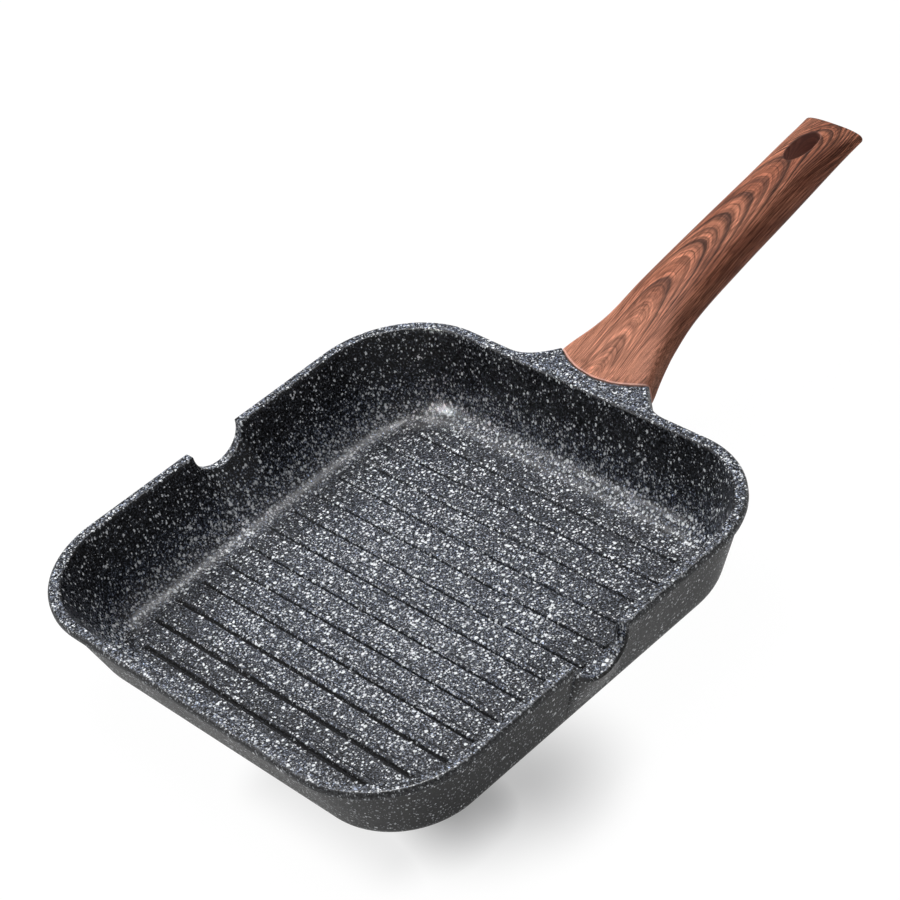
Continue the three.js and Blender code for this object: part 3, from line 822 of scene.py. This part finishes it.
class Tree:
    """Short ways to add and join nodes."""

    def __init__(self, tree):
        self.tree = tree

    def node(self, kind, **settings):
        made = self.tree.nodes.new(kind)
        for key, value in settings.items():
            setattr(made, key, value)
        return made

    def feed(self, socket, value):
        if isinstance(value, bpy.types.NodeSocket):
            self.tree.links.new(value, socket)
        else:
            socket.default_value = value

    def math(self, operation, a, b=0.0, clamp=False):
        made = self.node("ShaderNodeMath", operation=operation, use_clamp=clamp)
        self.feed(made.inputs[0], a)
        self.feed(made.inputs[1], b)
        return made.outputs[0]

    def chain(self, operation, first, rest):
        for value in rest:
            first = self.math(operation, first, value)
        return first

    def times(self, first, *rest):
        return self.chain("MULTIPLY", first, rest)

    def plus(self, first, *rest):
        return self.chain("ADD", first, rest)

    def most(self, first, *rest):
        return self.chain("MAXIMUM", first, rest)

    def minus(self, a, b):
        return self.math("SUBTRACT", a, b)

    def over(self, a, b, clamp=False):
        return self.math("DIVIDE", a, b, clamp)

    def vector(self, operation, a, b=(0.0, 0.0, 0.0)):
        made = self.node("ShaderNodeVectorMath", operation=operation)
        self.feed(made.inputs[0], a)
        self.feed(made.inputs[1], b)
        return made.outputs[0]

    def scaled(self, a, factors):
        return self.vector("MULTIPLY", a, factors)

    def split(self, vector):
        made = self.node("ShaderNodeSeparateXYZ")
        self.feed(made.inputs[0], vector)
        return made.outputs["X"], made.outputs["Y"], made.outputs["Z"]

    def join(self, x, y, z):
        made = self.node("ShaderNodeCombineXYZ")
        for socket, value in zip(made.inputs, (x, y, z)):
            self.feed(socket, value)
        return made.outputs["Vector"]

    def ranged(self, made, value, low, high, to_low, to_high):
        names = ("Value", "From Min", "From Max", "To Min", "To Max")
        for name, given in zip(names, (value, low, high, to_low, to_high)):
            self.feed(made.inputs[name], given)
        return made.outputs["Result"]

    def step(self, value, low, high, to_low=0.0, to_high=1.0):
        made = self.node("ShaderNodeMapRange", interpolation_type="SMOOTHSTEP")
        return self.ranged(made, value, low, high, to_low, to_high)

    def lerp(self, value, low, high, to_low, to_high):
        return self.ranged(self.node("ShaderNodeMapRange"), value, low, high, to_low, to_high)

    def between(self, share, start, stop):
        """From one value to another as a share goes from 0 to 1."""
        return self.lerp(share, 0.0, 1.0, start, stop)

    def mix(self, factor, a, b, blend="MIX"):
        made = self.node("ShaderNodeMix", data_type="RGBA", blend_type=blend)
        self.feed(made.inputs[0], factor)
        self.feed(made.inputs[6], a)
        self.feed(made.inputs[7], b)
        return made.outputs[2]

    def noise(self, vector, scale, detail, roughness, output="Fac"):
        made = self.node("ShaderNodeTexNoise")
        self.feed(made.inputs["Vector"], vector)
        made.inputs["Scale"].default_value = scale
        made.inputs["Detail"].default_value = detail
        made.inputs["Roughness"].default_value = roughness
        return made.outputs[output]

    def bump(self, shader, height, strength, distance):
        made = self.node("ShaderNodeBump")
        made.inputs["Strength"].default_value = strength
        made.inputs["Distance"].default_value = distance
        self.feed(made.inputs["Height"], height)
        self.feed(shader.inputs["Normal"], made.outputs["Normal"])


def new_group(name, numbers, results):
    """Node group from a place and named numbers; returns it with its tree, inputs and outputs."""
    group = bpy.data.node_groups.new(name, "ShaderNodeTree")
    group.interface.new_socket("Vector", in_out="INPUT", socket_type="NodeSocketVector")
    for label, value in numbers.items():
        socket = group.interface.new_socket(label, in_out="INPUT", socket_type="NodeSocketFloat")
        socket.default_value = value
    for label in results:
        group.interface.new_socket(label, in_out="OUTPUT", socket_type="NodeSocketFloat")
    tree = Tree(group)
    return group, tree, tree.node("NodeGroupInput").outputs, tree.node("NodeGroupOutput").inputs


def new_material(name):
    """Material with its tree, its shader and the place on the object."""
    material = bpy.data.materials.new(name)
    material.use_nodes = True
    tree = Tree(material.node_tree)
    shader = material.node_tree.nodes["Principled BSDF"]
    return material, tree, shader, tree.node("ShaderNodeTexCoord").outputs["Object"]


def use_group(tree, group, **values):
    made = tree.node("ShaderNodeGroup", node_tree=group)
    for key, value in values.items():
        tree.feed(made.inputs[key], value)
    return made.outputs


def specks_group():
    """Pale stone specks of one size: how pale each point is, from 0 to 1."""
    group, t, given, out = new_group(
        "stone_specks",
        {"Cell": 0.003, "Amount": 0.5, "Smallest": 0.15, "Largest": 0.4, "Dimmest": 0.4},
        ["Value"],
    )
    scaling = t.node("ShaderNodeVectorMath", operation="SCALE")
    t.feed(scaling.inputs[0], given["Vector"])
    t.feed(scaling.inputs["Scale"], t.over(1.0, given["Cell"]))
    place = scaling.outputs[0]
    shift = t.vector("SUBTRACT", t.noise(place, 1.7, 2.0, 0.6, "Color"), (0.5, 0.5, 0.5))
    cell = t.node("ShaderNodeTexVoronoi")
    t.feed(cell.inputs["Vector"], t.vector("ADD", place, t.scaled(shift, (0.75, 0.75, 0.75))))
    cell.inputs["Scale"].default_value = 1.0
    draw = t.node("ShaderNodeSeparateColor")
    t.feed(draw.inputs[0], cell.outputs["Color"])
    chosen = t.math("LESS_THAN", draw.outputs["Red"], given["Amount"])
    lean = t.math("POWER", draw.outputs["Green"], 1.6)
    spread = t.minus(given["Largest"], given["Smallest"])
    size = t.plus(given["Smallest"], t.times(spread, lean))
    body = t.step(cell.outputs["Distance"], size, t.times(size, 0.8))
    shade = t.between(draw.outputs["Blue"], given["Dimmest"], 1.0)
    t.feed(out["Value"], t.times(chosen, body, shade))
    return group


def grain_group():
    """Fine unevenness shared by the finishes: a height and a roughness."""
    numbers = {"Low": 0.4, "High": 0.5}
    group, t, given, out = new_group("fine_grain", numbers, ["Height", "Roughness"])
    broad = t.noise(given["Vector"], 38.0, 3.0, 0.6)
    t.feed(out["Height"], t.noise(given["Vector"], 420.0, 3.0, 0.55))
    t.feed(out["Roughness"], t.lerp(broad, 0.25, 0.75, given["Low"], given["High"]))
    return group


def coating_material(specks, grain):
    """Charcoal coat with pale specks, with painted shade on the walls, the floor's edges and the
    ribs; plain and turned under the base.
    """
    material, t, shader, place = new_material("speckled_coating")
    x, y, z = t.split(place)
    face_x, face_y, face_z = t.split(t.node("ShaderNodeNewGeometry").outputs["Normal"])
    tilt = t.plus(t.times(x, face_x), t.times(y, face_y))
    outer = t.most(t.step(tilt, *OUTSIDE_TILT), t.step(face_z, *OUTSIDE_LEAN))
    wall = t.times(t.step(z, *WALL_HEIGHT), t.step(tilt, *WALL_TILT))

    # Ribs: painted shade on their sides, far slopes and near feet, a dark ground with few specks,
    # strongest on the front ribs
    across, back = t.math("ABSOLUTE", x), t.math("ABSOLUTE", y)
    reach = t.most(across, back)
    low = t.times(t.step(z, *RIB_LAYER), t.step(reach, *RIB_AREA))
    crest = t.times(low, t.step(z, *RIB_CREST))
    side = t.step(face_z, *RIB_SIDE_LEAN)
    far = t.step(face_y, *RIB_FAR_LEAN)
    pitch = RIB_PITCH * MM
    row = t.math("FRACT", t.over(t.plus(y, pitch * RIB_COUNT / 2), pitch))
    beside = t.times(t.minus(row, 0.5), pitch)
    start = t.minus(FOOT_START, t.step(y, *FOOT_WIDTH))
    foot = t.step(beside, t.minus(start, FOOT_SOFT), start)
    foot = t.times(foot, t.step(beside, *FOOT_STOP))
    foot = t.times(foot, t.step(t.minus(across, t.lerp(back, *RIB_ENDS)), *RIB_END_SOFT))
    line = t.most(foot, side, t.times(far, t.step(y, *FAR_SHADE)))
    line = t.times(low, line, t.step(y, *RIB_SHADE_STRENGTH))

    # Painted shade: a darker ground with fewer specks on the walls, along the edges of the floor
    # and across its back
    edge = t.times(t.step(reach, *EDGE_SHADE_START), t.step(reach, *EDGE_SHADE_STOP))
    strip = t.times(t.step(y, *BACK_SHADE_STRIP), t.step(y, *BACK_SHADE_STRIP_STOP))
    thin = t.most(wall, t.times(edge, low, EDGE_SHADE_SHARE), strip, t.times(low, t.step(y, *BACK_FLOOR_SHADE)))
    rim = t.step(z, *RIM_HEIGHT)
    # The fillets get more pale specks: real specks that also serve in part as a painted highlight
    # for their sheen
    band = t.times(t.step(z, *FILLET_START), t.step(z, *FILLET_STOP))
    fillet = t.times(band, t.step(tilt, *FILLET_TILT))

    # Specks of three sizes: dense on the floor, fillets and rim, few on the walls and outside
    under = t.times(outer, t.step(z, *OUTSIDE_SHARE))
    flecked = t.scaled(place, (1.0, 1.0, 0.75))
    patchy = t.noise(place, 55.0, 2.0, 0.5)
    drift = t.lerp(patchy, 0.3, 0.7, t.between(thin, 0.75, 0.45), t.between(thin, 1.2, 1.5))
    sparse = t.most(thin, outer, t.times(rim, 0.8))

    def scatter(shift, cell, full, few, outside, **look):
        inner = t.between(fillet, t.between(thin, full, few), 0.95)
        amount = t.between(under, t.between(line, inner, 0.04), outside)
        vector = t.vector("ADD", flecked, shift)
        return use_group(
            t, specks, Vector=vector, Cell=cell, Amount=t.times(amount, drift), **look
        )["Value"]

    large = scatter(
        (0.0, 0.0, 0.0), cell=0.0021, full=t.between(rim, 0.74, 0.5), few=0.22, outside=0.15,
        Smallest=t.between(thin, 0.16, 0.23),
        Largest=t.between(sparse, 0.48, 0.38),
        Dimmest=t.between(thin, 0.55, 0.92),
    )
    middle = scatter(
        (0.31, 0.17, 0.05), cell=0.0013, full=0.8, few=0.27, outside=0.3,
        Smallest=0.2,
        Largest=t.between(sparse, 0.52, 0.44),
        Dimmest=t.between(thin, 0.4, 0.9),
    )
    small = scatter(
        (0.11, 0.43, 0.27), cell=0.001, full=0.76, few=0.24, outside=0.4,
        Smallest=0.22, Largest=0.5, Dimmest=0.35,
    )
    cloud = t.minus(t.noise(place, 1150.0, 1.0, 0.7), 0.5)
    mottle = t.math("EXPONENT", t.times(cloud, t.between(outer, 13.0, 5.0)))
    ground = t.mix(line, t.mix(thin, COAT_FLOOR, COAT_SHADED), COAT_RIB_SHADE)
    # Paler ground on the band under the rim: painted light that lifts the shade of its overhang
    ground = t.mix(outer, ground, t.mix(t.step(z, *FLANGE_HEIGHT), COAT_OUTSIDE, COAT_FLANGE_PAINTED_LIGHT))
    ground = t.mix(1.0, ground, mottle, "MULTIPLY")
    dull = t.between(outer, 1.0, 0.95)
    colour = t.mix(t.times(small, 0.85, dull), ground, SPECK_SMALL)
    colour = t.mix(t.times(middle, 0.95, dull), colour, t.mix(thin, SPECK_MIDDLE, SPECK_WALL))
    colour = t.mix(t.times(large, dull), colour, SPECK_LARGE)

    # Underside: plain coat over the rings left by turning
    base = t.times(t.step(z, *BASE_HEIGHT), t.step(face_z, *BASE_LEAN))
    length = t.node("ShaderNodeVectorMath", operation="LENGTH")
    t.feed(length.inputs[0], t.scaled(place, (1.0, 1.0, 0.0)))
    radius = length.outputs["Value"]
    groove = t.math("SINE", t.times(radius, 2 * math.pi / TURNED_PITCH))
    turned = t.times(groove, t.step(radius, *TURNED_EDGE), base)
    scuff = t.step(t.noise(place, 90.0, 4.0, 0.65), 0.4, 0.75)
    colour = t.mix(base, colour, t.mix(scuff, BASE_PLAIN, BASE_SCUFFED))
    t.feed(shader.inputs["Base Color"], colour)
    shader.inputs["Specular IOR Level"].default_value = 0.14

    # Gloss: specks shine most, rib sides least, and the flat strip at each foot mirrors the dark
    fine = use_group(t, grain, Vector=place, Low=0.27, High=0.35)
    rough = t.minus(fine["Roughness"], t.times(t.most(large, middle), 0.17))
    rough = t.plus(rough, t.times(cloud, 0.9), t.times(outer, 0.2))
    leaning = t.step(face_z, *FLAT_LEAN)
    slope = t.times(low, t.most(t.times(leaning, t.step(beside, *FOOT_SIDE)), far))
    level = t.times(low, foot, t.minus(1.0, leaning))
    for zone, value in ((crest, 0.6), (slope, 0.95), (level, 0.12)):
        rough = t.between(zone, rough, value)
    t.feed(shader.inputs["Roughness"], rough)
    relief = t.plus(t.times(fine["Height"], 0.55), t.times(large, 0.5), t.times(middle, 0.35))
    relief = t.plus(relief, t.times(cloud, 0.9), t.times(turned, 0.7))
    t.bump(shader, relief, 0.25, 0.00022)
    return material


def wood_material(grain):
    """Red-brown wood-effect film on a satin moulding."""
    material, t, shader, place = new_material("wood_effect_handle")
    x, y, z = t.split(place)

    # Figure: arches along the top of the handle that run out as streaks down both flanks
    height, rise, bend = WOOD_CROWN
    run = t.minus(y, JOINT_Y * MM)
    crown = t.minus(t.plus(t.times(run, rise), height), t.times(run, run, bend))
    deep = t.minus(crown, z)
    near = t.step(y, *WOOD_NEAR_JOINT)
    off = t.minus(t.plus(x, WOOD_MIDDLE), t.step(y, *WOOD_TIP_SHIFT))
    off = t.times(off, t.between(near, 1.0, WOOD_NARROWING))
    spread = t.plus(t.times(off, off), t.times(deep, deep, WOOD_DEPTH_SHARE))
    sway = t.noise(t.scaled(place, (1.0, 0.4, 1.0)), 50.0, 2.0, 0.5)
    fray = t.noise(t.scaled(place, (1.0, 0.16, 1.0)), 620.0, 3.0, 0.6)
    wander = t.times(t.minus(sway, 0.5), WOOD_SWAY)
    wander = t.plus(wander, t.times(t.minus(fray, 0.5), WOOD_FRAY))
    legs = t.plus(spread, t.times(spread, spread, WOOD_LEGS))
    figure = t.plus(y, t.over(legs, WOOD_ARCH), wander)

    # Strong rings one by one over the arches, then at random past them
    ramp = t.node("ShaderNodeValToRGB")
    t.feed(ramp.inputs[0], t.over(t.minus(figure, WOOD_START), WOOD_SPAN))
    stops = ramp.color_ramp.elements
    stops[0].color = BLACK
    stops[1].color = BLACK
    for at, dark, before, after in WOOD_RINGS:
        for shift, value in ((-before, 0.0), (0.0, dark), (after, 0.0)):
            stop = stops.new((at + shift - WOOD_START) / WOOD_SPAN)
            stop.color = (value, value, value, 1.0)

    def rings(spacing, seed, faintest, rise_from, rise_to):
        ring = t.over(figure, spacing)
        each = t.node("ShaderNodeTexWhiteNoise", noise_dimensions="1D")
        t.feed(each.inputs["W"], t.plus(t.math("FLOOR", ring), seed))
        phase = t.math("FRACT", ring)
        band = t.times(t.step(phase, rise_from, rise_to), t.step(phase, 1.0, 0.86))
        return t.times(band, t.between(each.outputs["Value"], faintest, 1.0))

    flank = t.step(spread, *WOOD_FLANK)
    edge = t.step(spread, *WOOD_EDGE)
    strong = t.times(rings(0.0068, 3.0, 0.6, 0.35, 0.65), t.step(figure, *WOOD_PAST_ARCHES))
    strong = t.times(t.most(strong, ramp.outputs["Color"]), t.between(edge, 1.0, 0.65))
    weak = rings(0.0021, 11.0, 0.0, 0.25, 0.75)
    fine_rings = rings(0.0034, 17.0, 0.1, 0.62, 0.8)

    # Bands of tone that follow the figure, then fibres and pores that run straight
    flow = t.join(t.times(x, 0.2), figure, t.times(deep, 0.2))
    broad = t.noise(flow, 130.0, 2.0, 0.5)
    thin = t.noise(flow, 430.0, 3.0, 0.6)
    bands = t.times(t.lerp(broad, 0.3, 0.7, 1.25, 0.75), t.lerp(thin, 0.3, 0.7, 1.35, 0.65))
    lengthwise = t.join(x, t.times(y, 0.05), deep)
    fibre = t.noise(lengthwise, 1500.0, 3.0, 0.6)
    pore = t.noise(t.scaled(lengthwise, (1.0, 1.6, 1.0)), 1900.0, 2.0, 0.5)
    streak = t.noise(t.scaled(lengthwise, (1.0, 0.5, 1.0)), 520.0, 2.0, 0.6)
    pores = t.step(pore, 0.54, 0.66)
    tone = t.noise(t.scaled(place, (1.0, 0.3, 1.0)), 70.0, 2.0, 0.5)
    lines = t.times(t.step(streak, 0.5, 0.62), t.most(t.times(flank, 0.7), near))
    colour = t.mix(t.step(tone, 0.35, 0.65), WOOD_DEEP, WOOD_PALE)
    for share, paint in (
        (t.times(near, 0.85), WOOD_JOINT_END),
        (t.times(weak, t.between(near, 0.6, 0.25)), WOOD_WEAK_RING),
        (t.times(fine_rings, t.between(near, 0.6, 0.3)), WOOD_FINE_RING),
        (t.times(strong, 0.95), WOOD_STRONG_RING),
        (t.times(lines, 0.45), WOOD_STREAK),
        (t.times(pores, t.between(near, 0.5, 0.3)), WOOD_PORE),
    ):
        colour = t.mix(share, colour, paint)
    fibres = t.lerp(fibre, 0.25, 0.75, t.between(near, 0.3, 0.45), t.between(near, 1.7, 1.55))
    colour = t.mix(1.0, colour, t.times(bands, fibres), "MULTIPLY")

    # Painted shade down the flanks and in the hanging hole, darker towards the tip, and a painted
    # highlight on the edge at the joint
    flank_shade_and_dark_tip = t.times(t.step(deep, *WOOD_FLANK_SHADE), t.step(y, *WOOD_TIP_SHADE))
    colour = t.mix(1.0, colour, flank_shade_and_dark_tip, "MULTIPLY")
    # Painted shade inside the hanging hole
    side = t.over(x, (HANG_WIDTH / 2 + HANG_ROUND) * MM)
    length = t.over(t.minus(y, HANG_Y * MM), (HANG_LENGTH / 2 + HANG_ROUND) * MM)
    hole = t.plus(t.times(side, side), t.times(length, length))
    colour = t.mix(t.step(hole, 1.0, 0.8, 0.0, 0.8), colour, WOOD_HOLE_SHADE)
    # Painted highlight on the rounded edge at the joint
    inward = t.math("SQRT", t.minus((JOINT_RADIUS * MM) ** 2, t.times(x, x)))
    joint = t.plus(t.minus(y, (JOINT_Y + JOINT_RADIUS) * MM), inward)
    colour = t.mix(t.step(joint, 0.0012, 0.0005, 0.0, 0.55), colour, WOOD_JOINT_HIGHLIGHT)
    t.feed(shader.inputs["Base Color"], colour)
    shader.inputs["Specular IOR Level"].default_value = 0.03
    fine = use_group(t, grain, Vector=place, Low=0.46, High=0.56)
    t.feed(shader.inputs["Roughness"], t.plus(fine["Roughness"], t.times(strong, 0.05)))
    relief = t.plus(t.times(fibre, 0.5), t.times(fine["Height"], 0.15))
    t.bump(shader, t.minus(relief, t.times(pores, 0.4)), 0.25, 0.00015)
    return material


def steel_material(grain):
    """Bright zinc plating with faint stains."""
    material, t, shader, place = new_material("zinc_steel")
    shader.inputs["Metallic"].default_value = 1.0
    fine = use_group(t, grain, Vector=t.scaled(place, (3.0, 3.0, 3.0)), Low=0.26, High=0.42)
    stain = t.step(t.noise(place, 700.0, 3.0, 0.6), 0.35, 0.7)
    t.feed(shader.inputs["Base Color"], t.mix(stain, ZINC_DULL, ZINC_BRIGHT))
    t.feed(shader.inputs["Roughness"], fine["Roughness"])
    t.bump(shader, fine["Height"], 0.2, 0.00008)
    return material


def seen_share(t):
    """1 for the rays that show the background: to the camera, in gloss or through glass."""
    path = t.node("ShaderNodeLightPath").outputs
    return t.most(path["Is Camera Ray"], path["Is Glossy Ray"], path["Is Transmission Ray"])


def floor_material():
    """White sweep whose white, for the camera, is mostly its own: least where the shadow lies."""
    material, t, shader, place = new_material("studio_floor")
    white = t.mix(t.noise(place, 3.0, 2.0, 0.5), (0.8, 0.8, 0.8, 1.0), (0.82, 0.82, 0.82, 1.0))
    camera = seen_share(t)
    x, y, _ = t.split(place)

    def distance(start, stop):
        """Distance on the floor from a straight line between two places."""
        reach = Vector(stop) - Vector(start)
        across, ahead = t.minus(x, start[0]), t.minus(y, start[1])
        share = t.plus(t.times(across, reach.x), t.times(ahead, reach.y))
        share = t.over(share, reach.length_squared, True)
        across = t.minus(across, t.times(share, reach.x))
        ahead = t.minus(ahead, t.times(share, reach.y))
        return t.math("SQRT", t.plus(t.times(across, across), t.times(ahead, ahead)))

    shades = []
    for line, reach, deep in SHADOWS:
        shades.append(t.step(distance(*line), reach, 0.0, SHADOW_FAR, deep))
    shade = t.most(*shades)
    seen = t.mix(shade, BLACK, (0.92, 0.92, 0.92, 1.0))
    t.feed(shader.inputs["Base Color"], t.mix(camera, white, seen))
    shader.inputs["Roughness"].default_value = 0.9
    shader.inputs["Specular IOR Level"].default_value = 0.1
    t.feed(shader.inputs["Emission Color"], t.mix(camera, BLACK, t.mix(shade, WHITE, BLACK)))
    shader.inputs["Emission Strength"].default_value = 1.0
    return material


# Stage, light and camera


def build_stage():
    mesh = bpy.data.meshes.new("studio_floor")
    signs = ((-1, -1), (1, -1), (1, 1), (-1, 1))
    corners = [(sx * STUDIO_HALF, sy * STUDIO_HALF, STUDIO_LOW) for sx, sy in signs]
    mesh.from_pydata(corners, [], [(0, 1, 2, 3)])
    mesh.update()
    mesh.materials.append(floor_material())
    floor = bpy.data.objects.new("studio_floor", mesh)
    bpy.context.scene.collection.objects.link(floor)


def area_light(name, place, size, power, sheen, target=PAN_MIDDLE, spread=180.0):
    """Soft box that lights matt surfaces, or else only shows as a sheen on glossy ones."""
    light = bpy.data.lights.new(name, "AREA")
    light.shape = "RECTANGLE"
    light.size, light.size_y = size
    light.energy = power
    light.spread = math.radians(spread)
    holder = bpy.data.objects.new(name, light)
    holder.location = place
    aim = Vector(target) - Vector(place)
    holder.rotation_euler = aim.to_track_quat("-Z", "Y").to_euler()
    holder.visible_glossy = sheen
    holder.visible_diffuse = not sheen
    bpy.context.scene.collection.objects.link(holder)


def build_light():
    world = bpy.data.worlds.new("studio")
    bpy.context.scene.world = world
    world.use_nodes = True
    t = Tree(world.node_tree)
    back = world.node_tree.nodes["Background"]
    t.feed(back.inputs["Color"], t.mix(seen_share(t), WORLD_LIGHT, WHITE))
    for row in LIGHTS:
        area_light(*row)


def build_camera():
    camera = bpy.data.cameras.new("camera")
    camera.sensor_width = CAMERA_SENSOR
    camera.lens = CAMERA_LENS
    camera.clip_start = 0.01
    camera.clip_end = 50.0
    holder = bpy.data.objects.new("camera", camera)
    turn = Matrix.Rotation(CAMERA_AZIMUTH, 4, "Z")
    turn @= Matrix.Rotation(math.pi / 2 - CAMERA_ELEVATION, 4, "X")
    turn @= Matrix.Rotation(-CAMERA_ROLL, 4, "Z")
    holder.matrix_world = Matrix.Translation(CAMERA_PLACE) @ turn
    bpy.context.scene.collection.objects.link(holder)
    bpy.context.scene.camera = holder


# Assembly

specks = specks_group()
grain = grain_group()
coating = coating_material(specks, grain)
wood = wood_material(grain)
steel = steel_material(grain)

made = [
    (build_pan(coating), "pan_body", "speckled_coating"),
    (build_handle(wood), "handle", "wood_effect_handle"),
    (build_fastener("flat_washer", "washer_flat", steel), "flat_washer", "zinc_steel"),
    (build_fastener("spring_washer", "washer_spring", steel), "spring_washer", "zinc_steel"),
    (build_fastener("fixing_screw", "screw", steel), "fixing_screw", "zinc_steel"),
]
for piece, node, slot in made:
    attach(piece, "root")
    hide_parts(node)

build_stage()
build_light()
build_camera()

bpy.context.scene.view_settings.view_transform = "Standard"
